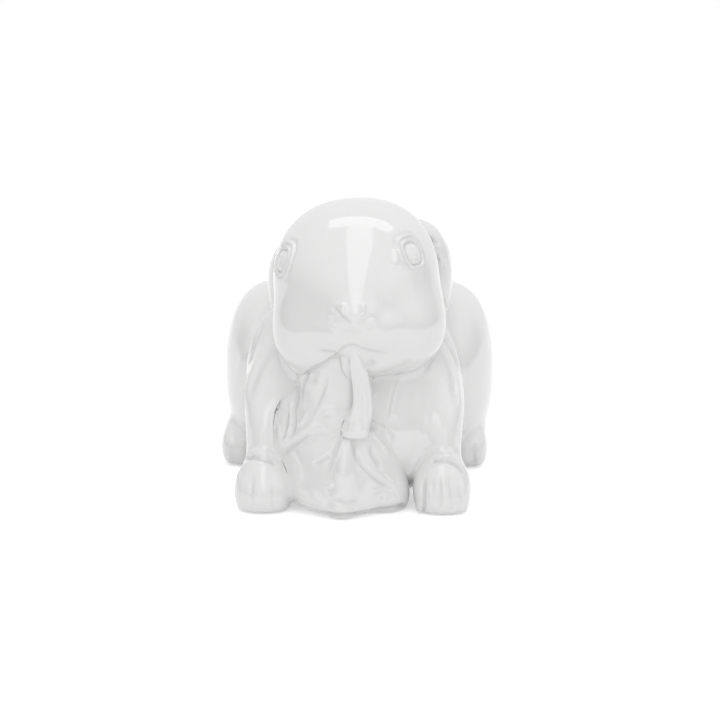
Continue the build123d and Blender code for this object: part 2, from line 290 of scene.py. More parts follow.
def makeMesh(name, points, quads, caps, poolAndShade):
    # the last argument is how deep each point lies in a pressed crease, from 0 to 1: there the glaze is
    # greyed, partly as glaze that ran together and partly as painted shade in the crease
    points = (points + shift) / perMetre
    points = np.clip(points, boxLow + work["boxMargin"], boxHigh - work["boxMargin"])
    mesh = bpy.data.meshes.new(name)
    mesh.vertices.add(len(points))
    mesh.vertices.foreach_set("co", points.astype(np.float32).ravel())
    mesh.loops.add(quads.size + caps.size)
    mesh.loops.foreach_set("vertex_index", np.concatenate([quads.ravel(), caps.ravel()]).astype(np.int32))
    mesh.polygons.add(len(quads) + len(caps))
    starts = np.concatenate([np.arange(len(quads)) * 4, quads.size + np.arange(len(caps)) * 3])
    mesh.polygons.foreach_set("loop_start", starts.astype(np.int32))
    mesh.polygons.foreach_set("use_smooth", np.ones(len(starts), bool))
    mesh.attributes.new("poolAndShade", "FLOAT", "POINT").data.foreach_set("value", poolAndShade.astype(np.float32))
    mesh.update(calc_edges=True)
    mesh.validate()
    piece = bpy.data.objects.new(name, mesh)
    bpy.context.scene.collection.objects.link(piece)
    return piece


# Trunk, haunches and shoulders

body = {
    "frontY": -76.0, "length": 195.0, "halfWidth": 53.0, "height": 126.0, "fullness": 2.3,
    "frontShare": (0.0, 0.35), "rearShare": (1.0, 0.35),
    "shares": [
        (0.022, 0.43, 0.19, 0.50), (0.070, 0.76, 0.07, 0.69), (0.160, 0.91, -0.01, 0.83),
        (0.310, 0.92, -0.05, 0.94), (0.490, 0.97, -0.06, 1.00), (0.700, 1.00, -0.06, 0.96),
        (0.850, 0.90, -0.04, 0.82), (0.950, 0.62, 0.06, 0.62),
    ],
    "brisket": ((18.0, -50.0, 33.0), (27.0, 25.0, 30.0)), "brisketSoft": 10.0,
    "shoulders": [((40.0, -26.0, 48.0), (15.5, 24.0, 40.0)), ((-41.5, -26.0, 52.0), (19.5, 24.0, 44.0))],
    "shoulderSoft": 8.0,
}
haunch = {
    "places": (44.3, -47.3), "frontY": -14.0, "length": 111.0, "halfWidth": 30.5, "height": 98.0,
    "fullness": 2.4, "frontShare": (0.0, 0.42), "rearShare": (1.0, 0.44), "soft": 7.0,
    "shares": [
        (0.035, 0.36, 0.23, 0.64), (0.130, 0.66, 0.10, 0.83), (0.300, 0.92, 0.02, 0.96),
        (0.520, 1.00, -0.02, 1.00), (0.750, 0.90, 0.02, 0.91), (0.920, 0.58, 0.14, 0.72),
    ],
}


def lengthwise(piece, x):
    # standing sections along Y, pinched to a point at both ends
    front, length, base, height = piece["frontY"], piece["length"], piece.get("baseZ", 0), piece["height"]
    ends = [(front + along * length, x, base + up * height, 0, 0)
            for along, up in (piece["frontShare"], piece["rearShare"])]
    table = []
    for along, wide, low, high in piece["shares"]:
        table.append((front + along * length, x, base + (low + high) / 2 * height,
                      wide * piece["halfWidth"], (high - low) / 2 * height))
    return stack(1, [ends[0], *table, ends[1]], piece["fullness"])


def bodyForm():
    more = [(lengthwise(haunch, x), haunch["soft"]) for x in haunch["places"]]
    more.append((oval(*body["brisket"]), body["brisketSoft"]))
    more += [(oval(place, radii), body["shoulderSoft"]) for place, radii in body["shoulders"]]
    return aboveFloor(joined(lengthwise(body, 0), *more))


# Head: an egg with cheeks, whisker pads, nose and chin, in its own upright frame and then rolled

head = {
    "frontY": -99.0, "length": 98.0, "halfWidth": 43.0, "baseZ": 70.0, "height": 87.5,
    "fullness": 2.25, "frontShare": (0.0, 0.39), "rearShare": (1.0, 0.58),
    "shares": [
        (0.026, 0.21, 0.29, 0.50), (0.071, 0.40, 0.19, 0.61), (0.143, 0.63, 0.10, 0.73),
        (0.255, 0.86, 0.04, 0.87), (0.418, 0.99, 0.02, 0.97), (0.600, 0.99, 0.07, 1.00),
        (0.775, 0.86, 0.16, 0.95), (0.918, 0.58, 0.32, 0.82),
    ],
    "shiftX": 0.8, "roll": 5.0, "turnZ": 106.0,
    "cheekPlace": (21.8, -63.0, 91.5), "cheekRadii": (22.0, 26.0, 22.0), "cheekSoft": 12.0,
    "padPlace": (8.0, -87.5, 96.0), "padRadii": (11.5, 10.0, 9.5), "padSoft": 7.0,
    "nosePlace": (0.0, -93.0, 106.0), "noseRadii": (9.5, 6.5, 7.5), "noseSoft": 6.0,
    "chinPlace": (3.0, -78.0, 81.5), "chinRadii": (16.0, 12.0, 9.5), "chinSoft": 8.0,
}


def inHead(p):
    # undoes the head's roll about the line of the nose
    c, s = math.cos(math.radians(head["roll"])), math.sin(math.radians(head["roll"]))
    x, z = p[:, 0] - head["shiftX"], p[:, 2] - head["turnZ"]
    return np.stack([x * c + z * s, p[:, 1], z * c - x * s + head["turnZ"]], 1)


def headForm():
    h, more = head, []
    for side in (-1, 1):
        for name in ("cheek", "pad"):
            x, y, z = h[name + "Place"]
            more.append((oval((side * x, y, z), h[name + "Radii"]), h[name + "Soft"]))
    more.append((oval(h["nosePlace"], h["noseRadii"]), h["noseSoft"]))
    more.append((oval(h["chinPlace"], h["chinRadii"]), h["chinSoft"]))
    face = joined(lengthwise(head, 0), *more)
    return lambda p: face(inHead(p))


# Ears: hang from the crown, thick at the root and round at the tip

ear = {
    "drop": 55.0, "halfThickness": 8.0, "halfBreadth": 17.0, "fullness": 2.0,
    "places": {"left": (43.2, -11.0, 143.5), "right": (-42.2, -11.0, 137.0)},
    "topShare": (0.0, 1.40, 0.65, 0.0, 0.0), "tipShare": (1.0, 0.0, 0.0, 0.0, 0.0),
    "shares": [
        (0.050, 1.10, 0.60, 0.55, 0.40), (0.160, 0.72, 0.48, 0.84, 0.65),
        (0.310, 0.32, 0.30, 0.96, 0.86), (0.490, 0.08, 0.15, 0.94, 1.00),
        (0.670, 0.00, 0.06, 0.86, 0.98), (0.820, 0.00, 0.00, 0.76, 0.84),
        (0.930, 0.00, 0.00, 0.58, 0.58),
    ],
}


def earForm(x, y, topZ):
    e, side = ear, math.copysign(1, x)
    table = []
    for down, leanIn, leanForward, thick, broad in [e["tipShare"], *e["shares"][::-1], e["topShare"]]:
        table.append((topZ - down * e["drop"], x - side * leanIn * e["halfThickness"],
                      y - leanForward * e["halfBreadth"], thick * e["halfThickness"],
                      broad * e["halfBreadth"]))
    return stack(2, table, e["fullness"])


# Forelegs: a leg that leans forward to the wrist, with a paw and its toes

foreleg = {
    "topZ": 86.0, "halfWidth": 13.2, "halfDepth": 16.0, "reach": 34.0, "spread": 10.0, "fullness": 2.1,
    "wrists": {"left": (45.1, -67.0), "right": (-47.4, -67.0)},
    "pawRadii": {"left": (14.7, 15.0, 16.2), "right": (13.3, 15.0, 15.8)},
    "topShare": (0.99, 1.00, 1.00, 0.0, 0.0), "footShare": (0.02, 0.0, 0.0, 0.0, 0.0),
    "shares": [
        (0.960, 0.92, 0.98, 0.52, 0.50), (0.880, 0.70, 0.88, 0.84, 0.80),
        (0.760, 0.38, 0.72, 0.98, 0.96), (0.620, 0.08, 0.50, 0.92, 0.96),
        (0.460, 0.00, 0.26, 0.80, 0.80), (0.300, 0.00, 0.10, 0.76, 0.68),
        (0.160, 0.00, 0.00, 0.78, 0.66),
    ],
    "pawForward": 7.0, "pawHeight": 13.5, "pawSoft": 4.0, "toes": {"left": 5, "right": 4},
    "toeSoft": {"left": 3.5, "right": 6.0}, "toeWide": {"left": 0.32, "right": 0.42},
    "toeRow": 0.66, "toeLong": 0.62, "toeHigh": 0.62,
    "toeForward": 0.50, "toeDrop": 0.36, "toeFan": 0.16,
}


def forelegForm(side):
    f = foreleg
    wrist, paw = f["wrists"][side], f["pawRadii"][side]
    out = math.copysign(1, wrist[0])
    table = []
    for up, spread, reach, wide, deep in [f["footShare"], *f["shares"][::-1], f["topShare"]]:
        table.append((up * f["topZ"], wrist[0] - out * spread * f["spread"],
                      wrist[1] + reach * f["reach"], wide * f["halfWidth"], deep * f["halfDepth"]))
    place = (wrist[0], wrist[1] - f["pawForward"], f["pawHeight"])
    more = [(oval(place, paw), f["pawSoft"])]
    for number in range(f["toes"][side]):
        across = 2 * number / (f["toes"][side] - 1) - 1
        toePlace = (place[0] + across * f["toeRow"] * paw[0],
                    place[1] - (f["toeForward"] - f["toeFan"] * across**2) * paw[1],
                    place[2] - f["toeDrop"] * paw[2])
        toeRadii = (f["toeWide"][side] * paw[0], f["toeLong"] * paw[1], f["toeHigh"] * paw[2])
        more.append((oval(toePlace, toeRadii), f["toeSoft"][side]))
    return aboveFloor(joined(stack(2, table, f["fullness"]), *more))


# Hind feet: long and flat, with three toes in front

hindFoot = {
    "frontY": -2.0, "length": 84.0, "halfWidth": 13.0, "height": 26.5, "fullness": 2.3,
    "places": {"left": 58.0, "right": -64.8},
    "frontShare": (0.0, 0.36), "rearShare": (1.0, 0.30),
    "shares": [
        (0.035, 0.50, 0.05, 0.68), (0.120, 0.86, -0.08, 0.92), (0.280, 1.00, -0.10, 1.00),
        (0.550, 0.92, -0.10, 0.92), (0.800, 0.80, -0.06, 0.76), (0.940, 0.54, 0.04, 0.56),
    ],
    "toes": 3, "toeRadii": (4.6, 9.0, 9.2), "toeRow": 0.60, "toeHeight": 0.40, "toeForward": 0.82,
    "toeSoft": 5.0,
}


def hindFootForm(x):
    f = hindFoot
    more = []
    for number in range(f["toes"]):
        across = 2 * number / (f["toes"] - 1) - 1
        place = (x + across * f["toeRow"] * f["halfWidth"],
                 f["frontY"] + f["toeForward"] * f["toeRadii"][1], f["toeHeight"] * f["height"])
        more.append((oval(place, f["toeRadii"]), f["toeSoft"]))
    return aboveFloor(joined(lengthwise(f, x), *more))


tail = {"place": (0.0, 116.0, 50.0), "radii": (15.0, 13.0, 19.0)}


# Leaves and their ribs: level sections from the top row down

upperLeaf = {
    "edgeSoft": 2.0, "topZ": 88.0, "drop": 66.0, "halfWidth": 23.5, "halfDepth": 24.0, "x": -13.5, "y": -65.0,
    "shares": [
        (0.00, 0.40, 0.22, 0.60, 0.86), (0.08, 0.30, 0.17, 0.68, 0.85), (0.20, 0.20, 0.08, 0.78, 0.82),
        (0.46, 0.08, 0.00, 0.90, 0.84), (0.72, 0.00, 0.00, 1.00, 0.92), (1.00, -0.08, 0.00, 0.96, 0.98),
    ],
    "ruffles": [((-33.0, -66.0, 36.0), (9.5, 10.5, 22.0), 6.0)],
}
lowerLeaf = {
    "edgeSoft": 6.0, "topZ": 46.0, "drop": 46.0, "halfWidth": 33.0, "halfDepth": 38.0, "x": -6.5, "y": -60.5,
    "shares": [
        (0.00, 0.30, 0.00, 0.36, 0.64), (0.14, 0.04, 0.00, 0.70, 0.78), (0.38, 0.00, 0.00, 0.95, 0.91),
        (0.64, 0.00, 0.00, 1.00, 0.98), (0.86, 0.00, 0.00, 0.94, 1.00), (1.00, 0.06, 0.00, 0.70, 0.92),
    ],
    "ruffles": [((17.5, -74.0, 8.0), (11.0, 14.0, 12.0), 6.0)],
}
upperRib = {
    "edgeSoft": 1.4, "topZ": 93.0, "drop": 51.0, "halfWidth": 7.4, "halfDepth": 6.0, "x": 0.0, "y": -88.5,
    "shares": [
        (0.00, 0.04, 0.60, 0.38, 0.50), (0.10, 0.10, 0.55, 0.46, 0.62), (0.26, 0.31, 0.48, 0.56, 0.72),
        (0.60, 0.62, 0.28, 0.65, 0.84), (0.80, 0.42, 0.08, 0.84, 0.98), (0.92, 0.16, 0.00, 0.92, 1.02),
        (1.00, 0.08, 0.00, 0.96, 0.96),
    ],
}
lowerRib = {
    "edgeSoft": 4.0, "topZ": 44.0, "drop": 44.0, "halfWidth": 7.4, "halfDepth": 7.0, "x": -5.5, "y": -93.5,
    "shares": [
        (0.00, 0.40, -1.50, 0.48, 0.90), (0.30, 0.22, -0.55, 0.66, 0.96), (0.58, 0.04, -0.10, 0.84, 1.00),
        (0.84, -0.06, 0.00, 1.00, 1.00), (0.96, -0.06, 0.00, 0.90, 0.84), (1.00, -0.06, 0.00, 0.70, 0.60),
    ],
}


leafFullness = 2.0      # round sections, in the ribs too


def leafForm(leaf):
    # level sections, and the ruffles that reach out to the legs
    table = []
    for down, across, forward, wide, deep in leaf["shares"][::-1]:
        table.append((leaf["topZ"] - down * leaf["drop"], leaf["x"] + across * leaf["halfWidth"],
                      leaf["y"] - forward * leaf["halfDepth"], wide * leaf["halfWidth"],
                      deep * leaf["halfDepth"]))
    more = [(oval(place, radii), join) for place, radii, join in leaf.get("ruffles", [])]
    return aboveFloor(joined(stack(2, table, leafFullness, leaf["edgeSoft"]), *more))


# The forms by piece

forms = {
    "body": bodyForm(),
    "head": headForm(),
    "earLeft": earForm(*ear["places"]["left"]),
    "earRight": earForm(*ear["places"]["right"]),
    "forelegLeft": forelegForm("left"),
    "forelegRight": forelegForm("right"),
    "hindFootLeft": hindFootForm(hindFoot["places"]["left"]),
    "hindFootRight": hindFootForm(hindFoot["places"]["right"]),
    "tail": oval(tail["place"], tail["radii"]),
    "upperLeaf": leafForm(upperLeaf),
    "upperRib": leafForm(upperRib),
    "lowerLeaf": leafForm(lowerLeaf),
    "lowerRib": leafForm(lowerRib),
}

# Each piece: the line that its rays leave from, its grid, and what its glaze runs into how softly
earCast = {"slot": "glaze", "rows": 150, "columns": 170, "reach": 60, "touches": {"head": 3, "body": 2}}
forelegCast = {"slot": "glaze", "rows": 260, "columns": 260, "reach": 60, "crowd": 0.45}
hindFootCast = {
    "slot": "glaze", "rows": 130, "columns": 150, "reach": 50, "front": (0, 0, 1), "touches": {"body": 4},
}
castings = {
    "body": {
        "replaces": "body_shell", "slot": "glaze", "start": (0, -42, 52), "end": (0, 84, 50),
        "rows": 300, "columns": 320, "reach": 110, "front": (0, 0, 1),
        "touches": {"head": 6, "forelegLeft": 7, "forelegRight": 7, "hindFootLeft": 4,
                    "hindFootRight": 4, "tail": 4, "earLeft": 2, "earRight": 2,
                    "upperLeaf": 1.5, "lowerLeaf": 1.5},
    },
    "head": {
        "replaces": "head_shell", "slot": "glaze", "start": (0, -76, 107), "end": (-1, -36, 116),
        "rows": 250, "columns": 390, "reach": 80, "front": (0, 0, 1), "crowd": 0.3,
        "rowPlan": ([0, 0.30, 0.72, 1.0], [0, 0.20, 0.50, 1.0]),
        "touches": {"body": 6, "earLeft": 3, "earRight": 3, "upperLeaf": 1.5, "upperRib": 1.2},
    },
    "earLeft": dict(earCast, replaces="ear_left", start=(43, -11, 100), end=(39, -17, 132)),
    "earRight": dict(earCast, replaces="ear_right", start=(-42.5, -11, 94), end=(-39, -17, 126)),
    "forelegLeft": dict(
        forelegCast, replaces="foreleg_left", start=(47, -70, 14), end=(41, -38, 85),
        touches={"body": 7, "lowerLeaf": 0.8, "head": 2},
    ),
    "forelegRight": dict(
        forelegCast, replaces="foreleg_right", start=(-47.5, -70, 14), end=(-41, -38, 85),
        touches={"body": 7, "upperLeaf": 3, "lowerLeaf": 3, "head": 2},
    ),
    "hindFootLeft": dict(hindFootCast, replaces="hind_foot_left", start=(58, 8, 12), end=(58, 70, 12)),
    "hindFootRight": dict(
        hindFootCast, replaces="hind_foot_right", start=(-64.8, 8, 12), end=(-64.8, 70, 12),
    ),
    "tail": {
        "replaces": "tail", "slot": "glaze", "start": (0, 116, 44), "end": (0, 116, 56),
        "rows": 90, "columns": 120, "reach": 40, "touches": {"body": 4},
    },
    "upperLeaf": {
        "replaces": "leaf_upper", "slot": "leaf_glaze", "start": (-14, -66, 40), "end": (-8, -66, 78),
        "rows": 260, "columns": 340, "reach": 60, "crowd": 0.5,
        "touches": {"upperRib": 4, "lowerLeaf": 2, "lowerRib": 1.5, "head": 1.5, "body": 1.5,
                    "forelegRight": 3},
    },
    "upperRib": {
        "replaces": "rib_upper", "slot": "leaf_glaze", "start": (0.5, -88.5, 48), "end": (0.5, -91.5, 88),
        "rows": 190, "columns": 140, "reach": 30,
        "touches": {"upperLeaf": 2, "lowerLeaf": 1, "head": 1.2, "body": 1},
    },
    "lowerLeaf": {
        "replaces": "leaf_lower", "slot": "leaf_glaze", "start": (-6, -62, 8), "end": (0, -62, 34),
        "rows": 260, "columns": 360, "reach": 70, "crowd": 0.5,
        "touches": {"lowerRib": 2, "upperLeaf": 2, "body": 1.5, "forelegLeft": 0.8,
                    "forelegRight": 3, "upperRib": 1},
    },
    "lowerRib": {
        "replaces": "rib_lower", "slot": "leaf_glaze", "start": (-6, -92.5, 8), "end": (-4, -86, 38),
        "rows": 170, "columns": 150, "reach": 30,
        "touches": {"lowerLeaf": 2, "upperRib": 1, "upperLeaf": 1.5},
    },
}


# Relief: what was pressed in or drawn up in the clay. Each group names its pieces and the y of the
# standing plane that its marks are laid out on, as they are seen from in front. A mark is (points
# (x, z), height, width to the left and right of the way it runs, share of its length over which
# each end fades), with one number where both sides or both ends are alike

marks = {
    "mouth": (("head", "upperRib", "upperLeaf"), -95, [
        ([(-8, 86.2), (-6.4, 87.8), (-4.6, 89.5), (-2.4, 90.4), (0.8, 90.6), (4.3, 89.2), (9.3, 87.7),
          (14.6, 86.9), (20.4, 86.9)], -0.65, (0.9, 0.8), (0.12, 0.3)),
        ([(-19.2, 88.1), (-15.4, 87.5), (-11.2, 87), (-7.7, 87.2)], -0.8, (1.1, 0.9), (0.35, 0.2)),
        ([(-8, 89.4), (-5.6, 91.4), (-2.4, 92.3), (1.2, 92.2), (5, 90.9)], 0.7, (1.2, 1), 0.4),
    ]),
    "muzzle": (("head",), -95, [
        ([(-6.6, 88.4), (-9.3, 85.3), (-13.9, 82.2), (-19.3, 79.4), (-24.3, 75.8), (-28.4, 71.5)],
         -1.6, (8, 0.6), (0.15, 0.1)),
        ([(-12.4, 113.2), (-10.1, 111.1), (-6.7, 107.3), (-3.2, 104.2), (0.6, 102.6)],
         -0.9, (0.8, 1.4), (0.35, 0.3)),
        ([(9.6, 107.6), (7, 105.2), (3.6, 103.3), (-0.6, 102.4)], -0.45, (1.6, 1), 0.4),
        ([(-5.4, 113.4), (-5.2, 109.8), (-5.2, 105.8)], 1.1, 1.5, (0.3, 0.15)),
        ([(4.9, 113.4), (4.8, 109.8), (4.8, 106.2)], 1.1, 1.4, (0.3, 0.15)),
        ([(-11.8, 106.6), (-10.9, 103), (-9.2, 99.4)], 1, 1.6, 0.3),
        ([(9.9, 105.6), (8.7, 102.2), (6.8, 98.8)], 1, 1.6, 0.3),
        ([(-8.4, 99.2), (-3.4, 98), (1.6, 98), (6.2, 98.6)], -0.3, (1.2, 1.6), 0.4),
    ]),
    "besideEye": (("head",), -82, [
        ([(20.9, 138.8), (21, 133.9), (21.7, 129.1)], 0.9, 1.5, 0.25),
    ]),
    "underMouth": (("head",), -88, [
        ([(6, 81.4), (8.9, 79.9), (11.2, 78.6)], -0.9, (2.2, 2), 0.4),
    ]),
    "underChin": (("head",), -84, [
        ([(8.3, 73.3), (15.4, 74.4), (22.4, 77), (29.4, 81.7)], -0.5, 1.2, 0.3),
    ]),
    "upperLeaf": (("upperLeaf",), -86, [
        ([(-12.7, 73), (-15.8, 64.6), (-18.9, 56.7), (-21.5, 49.9)], -0.6, (0.8, 1), (0.15, 0.2)),
        ([(-3, 84), (-1.6, 72), (-1.2, 61), (-3, 52), (-7.4, 44)], 2.6, 6, (0.15, 0.2)),
        ([(-12, 68), (-15.4, 59.8), (-18.6, 52.6), (-22.8, 46.8), (-29, 41.4), (-36.5, 34)],
         0.9, 2.2, (0.3, 0.25)),
        ([(-22.4, 44.6), (-25.2, 41), (-30.4, 36.8), (-37.5, 29.1)], -1.1, (1.2, 0.9), (0.25, 0.2)),
        ([(-36.1, 76), (-37.2, 68.1), (-38.2, 61.3), (-40.3, 53.9)], -1.7, (1.2, 1.1), 0.25),
        ([(-29.2, 72.4), (-29.1, 66.4), (-29.8, 58.8), (-31.4, 52.8)], -1.6, (1.1, 1.3), 0.25),
        ([(-31, 57.4), (-30.4, 50.4), (-30.9, 44.8), (-33.2, 39.6)], -1.3, 0.9, 0.25),
        ([(-33.8, 56.6), (-34.2, 49.8), (-35.4, 43), (-37.3, 37.6)], -1.3, 0.9, 0.25),
        ([(-32.4, 62.6), (-32.2, 54.8), (-33, 46.2), (-35.8, 38.4)], 0.9, 0.8, 0.25),
        ([(-39.4, 47.6), (-40.5, 42.8), (-40, 37.5)], -0.9, 0.9, 0.3),
        ([(-18.2, 77.4), (-19.4, 72.6), (-20.8, 68.2)], -0.8, (1.4, 1.6), (0.3, 0.35)),
        ([(-22.4, 76.8), (-25.2, 71.6), (-26.8, 66.4), (-26.4, 58.6)], -1.2, (1.5, 0.8), (0.2, 0.35)),
        ([(-24.2, 66), (-23.8, 58), (-25.6, 50.6), (-29.4, 44.8)], 0.7, (1.5, 1.2), 0.3),
        ([(-21.6, 52.6), (-17.4, 55.4), (-12.2, 56.2), (-6.7, 56)], 0.7, (1.6, 1.8), (0.3, 0.4)),
        ([(-20.6, 50.6), (-15.6, 52), (-9.4, 52.2)], -0.45, 1.2, (0.3, 0.4)),
        ([(-23.6, 43.9), (-18.4, 45), (-12.8, 44.8)], 0.5, (1.2, 1.4), (0.3, 0.4)),
        ([(-23, 41.8), (-18.4, 42.6), (-12, 42.4)], -0.4, (1, 1.2), (0.3, 0.4)),
        ([(-27.7, 35.5), (-21.6, 35.9), (-14.4, 36.6)], -0.35, 1.2, (0.3, 0.4)),
    ]),
    "lowerLeaf": (("lowerLeaf", "lowerRib"), -93, [
        ([(-21.4, 27.9), (-16.6, 30.3), (-11.7, 33.1)], -0.9, (0.8, 1.3), (0.35, 0.15)),
        ([(-22.4, 29.6), (-16.8, 32.4), (-12.2, 35.2)], 0.5, (1.2, 1), (0.35, 0.3)),
        ([(-6.6, 43.4), (-9.3, 36.1), (-11.3, 29.2), (-14.1, 21.2), (-17, 16.2)],
         -0.9, (0.9, 1.2), (0.1, 0.5)),
        ([(-0.6, 43), (-0.1, 36.2), (-0.4, 30.3)], -0.7, (1.1, 0.8), (0.15, 0.5)),
        ([(0.2, 41.4), (0.9, 35.1), (2.9, 29.3), (6.8, 24.6), (11.9, 20.4), (16.5, 17.3), (21.2, 14.4)],
         -1, (1.2, 0.9), 0.15),
        ([(2.6, 40), (3.4, 35.1), (5.6, 30.3), (9.4, 26.2), (14, 22.4), (18.4, 19.4)],
         0.5, (1.4, 1.2), 0.3),
        ([(8.6, 39.4), (9.9, 33.6), (12.3, 29.4), (13.8, 25.2)], -1.1, (1, 1.3), (0.3, 0.25)),
        ([(7.3, 47.8), (11.9, 42.6), (16.4, 36.3), (19.5, 30)], 0.8, (1, 1.2), (0.15, 0.35)),
        ([(14.4, 27.4), (17.5, 23.1), (20.6, 18.3), (22.6, 11)], 0.6, (1, 1.2), 0.3),
        ([(-3.4, 43.4), (-5.2, 34), (-6.6, 24), (-7.4, 15)], 1.1, (2.8, 2.6), (0.2, 0.4)),
        ([(-3.8, 43), (-6.2, 36.6), (-9.3, 29.8)], 1, (0.9, 1), (0.2, 0.25)),
        ([(-35.5, 4.6), (-25, 1.6), (-9.6, 0.2), (5.8, 1.6), (18, 3.6), (29, 6.5)],
         -2.2, (2.6, 4), (0.12, 0.05)),
        ([(-24, 11), (-12, 4.6), (2, 3.9), (12, 7), (19, 12)], 0.7, (2.2, 1.6), 0.3),
        ([(-12.6, 10.2), (-7, 8), (-2.9, 7.5), (1.2, 9), (4, 12)], -0.8, (1.6, 0.9), 0.3),
        ([(-21.8, 13.6), (-19.4, 11.1), (-17.8, 8.6)], 1, (2, 1.6), 0.4),
        ([(-12.6, 18.4), (-10.6, 16)], 1.3, 1.4, 0.5),
        ([(-14.6, 16.4), (-11.6, 13.4)], -0.5, 1, 0.5),
        ([(8.4, 15.2), (12.4, 16.4), (16.5, 16.8)], -0.5, 0.6, (0.4, 0.3)),
        ([(8.9, 11.7), (12.4, 13.3), (15.5, 14.7)], -0.55, 0.6, (0.4, 0.3)),
        ([(14.6, 23), (17, 21.8), (19.4, 19.8)], -0.5, 0.6, (0.4, 0.3)),
        ([(22.1, 21.1), (20.1, 17.4)], -0.5, 0.6, 0.4),
        ([(23.2, 9.9), (21.1, 14.7)], -0.5, 0.6, 0.4),
        ([(17.2, 8.2), (18.2, 13.6)], -0.5, 0.6, 0.4),
        ([(12.8, 8.6), (15.6, 12.6)], -0.45, 0.6, 0.4),
        ([(-34.5, 25.3), (-37.1, 21)], -0.8, 0.8, 0.4),
        ([(-34.4, 15.2), (-35.4, 11), (-34.8, 7.2)], -0.6, 0.8, 0.4),
    ]),
    "stalk": (("upperRib",), -93, [
        ([(-1.6, 86), (-0.6, 76), (0.6, 66), (0.4, 58), (-2.6, 50)], 0.7, (1, 0.9), (0.15, 0.2)),
        ([(1.8, 84), (3.4, 74), (4.2, 64), (4, 54), (2.2, 46)], -0.4, 0.9, (0.3, 0.15)),
        ([(4.6, 78), (6.4, 69), (7.2, 60), (7, 50)], -0.35, 0.8, (0.3, 0.2)),
        ([(-2.6, 55), (-5, 50), (-6.2, 45.6)], 1.3, (1.6, 1.8), (0.3, 0.1)),
        ([(-1.6, 54), (-3.2, 50), (-3.9, 45.6)], -0.4, 0.7, (0.4, 0.1)),
        ([(0.6, 54), (-0.4, 50), (-0.6, 45.6)], -0.4, 0.7, (0.4, 0.1)),
        ([(4.6, 52), (4.6, 49), (4.9, 46)], -0.4, 0.7, (0.4, 0.1)),
    ]),
    "shoulders": (("body", "forelegLeft", "forelegRight"), -45, [
        ([(-45, 114), (-47.5, 107.2), (-50.4, 98.2), (-53.4, 88.4), (-57.4, 78), (-61.3, 67),
          (-63.4, 54.3)], 1, (2, 2.6), 0.3),
        ([(-47.2, 100.2), (-49.6, 91.6), (-53, 81.8), (-56.6, 72.8), (-59.8, 62.4)],
         -0.9, (1.4, 1.2), 0.3),
        ([(-43.8, 84.4), (-47.4, 79.2), (-52.4, 70.8), (-56.8, 61), (-59.6, 50.8), (-59.4, 43)],
         1.1, (1.3, 2), (0.2, 0.3)),
        ([(-42.8, 81), (-47.6, 73.4), (-52.6, 64.2), (-55.8, 55.2), (-57.2, 46.6)],
         -0.8, (2.4, 1), (0.25, 0.3)),
        ([(-48.6, 103.6), (-51.8, 93.8), (-55.4, 83.6), (-60, 74)], -0.7, (0.9, 1.2), (0.3, 0.4)),
        ([(45.4, 92.4), (47.4, 87.4), (50.6, 79.6), (54.4, 71.3), (56.6, 62.9)], 0.7, (1.4, 1.1), 0.3),
        ([(44.6, 87.4), (48.4, 79.6), (52.6, 71), (55, 63.9)], -1.1, 1.2, (0.25, 0.3)),
        ([(42.6, 86.8), (46.2, 79.6), (50.2, 71), (52.6, 61.2), (54.2, 49.6), (55.4, 42)],
         1.1, (1.2, 1.3), (0.2, 0.3)),
        ([(43, 80.4), (47.4, 73.2), (50.6, 65.8), (51.6, 56), (53.2, 46.6)], -0.8, (1, 2.4), 0.3),
    ]),
    "elbow": (("body", "forelegLeft", "forelegRight"), -60, [
        ([(41, 80), (38.4, 74), (36.2, 67)], -0.9, 1.6, (0.3, 0.4)),
    ]),
    "paws": (("forelegLeft", "forelegRight"), -88, [
        ([(35.6, 0.5), (35.7, 8), (35.8, 15), (36.6, 21.6)], -1.5, 0.9, (0.06, 0.3)),
        ([(40.2, 9), (40.2, 15), (40.6, 20.6)], -0.35, 0.8, (0.4, 0.5)),
        ([(44.6, 2), (44.5, 9), (44.2, 16), (43.8, 23.4)], -0.65, 0.8, (0.3, 0.4)),
        ([(49.9, 2), (49.8, 9), (49.2, 16), (48.4, 22.8)], -0.6, 0.8, (0.3, 0.4)),
        ([(54.9, 3), (54.6, 9), (53.8, 15), (52.8, 20.4)], -0.4, 0.9, (0.3, 0.5)),
        ([(39, 29.6), (44.1, 30.3), (49.1, 29.6), (53.1, 27.4), (56, 23.8), (58.2, 18)],
         -1.7, (0.7, 1.2), (0.06, 0.4)),
        ([(38.6, 31.6), (44.1, 32.4), (49.6, 31.6), (54, 29.4)], 0.6, (1.4, 0.8), (0.2, 0.4)),
        ([(48.1, 26.6), (52.1, 24.8), (54.9, 21.7), (57.2, 16)], 0.5, (0.7, 0.8), 0.4),
        ([(-52.7, 3), (-52.6, 9), (-52.3, 16), (-51.4, 23.7)], -0.7, 1.3, (0.25, 0.4)),
        ([(-42.2, 3), (-41.8, 9), (-41.6, 16)], -0.4, 0.9, (0.25, 0.4)),
        ([(-58.9, 26), (-57.2, 29.2), (-53.2, 30.9), (-48.1, 30.5), (-42.9, 28.9), (-39, 26.4)],
         -1.8, (0.7, 1.3), 0.15),
        ([(-56.6, 31.2), (-53.2, 32.8), (-47.8, 32.6), (-42.4, 31)], 0.6, (1.4, 0.8), 0.3),
        ([(-54.2, 28), (-57.2, 25.6), (-59.4, 21), (-60.4, 15)], 0.7, 0.9, (0.3, 0.4)),
    ]),
    "chest": (("body",), -72, [
        ([(24.4, 15.5), (28.5, 17.7), (32.1, 20.9), (36.7, 25.8)], 0.5, 1, 0.3),
        ([(23.6, 74), (22.6, 68), (20.6, 60), (19.3, 53.6), (18.4, 46)], 1, (2.4, 1.4), 0.15),
    ]),
    "ears": (("earLeft", "earRight"), -20, [
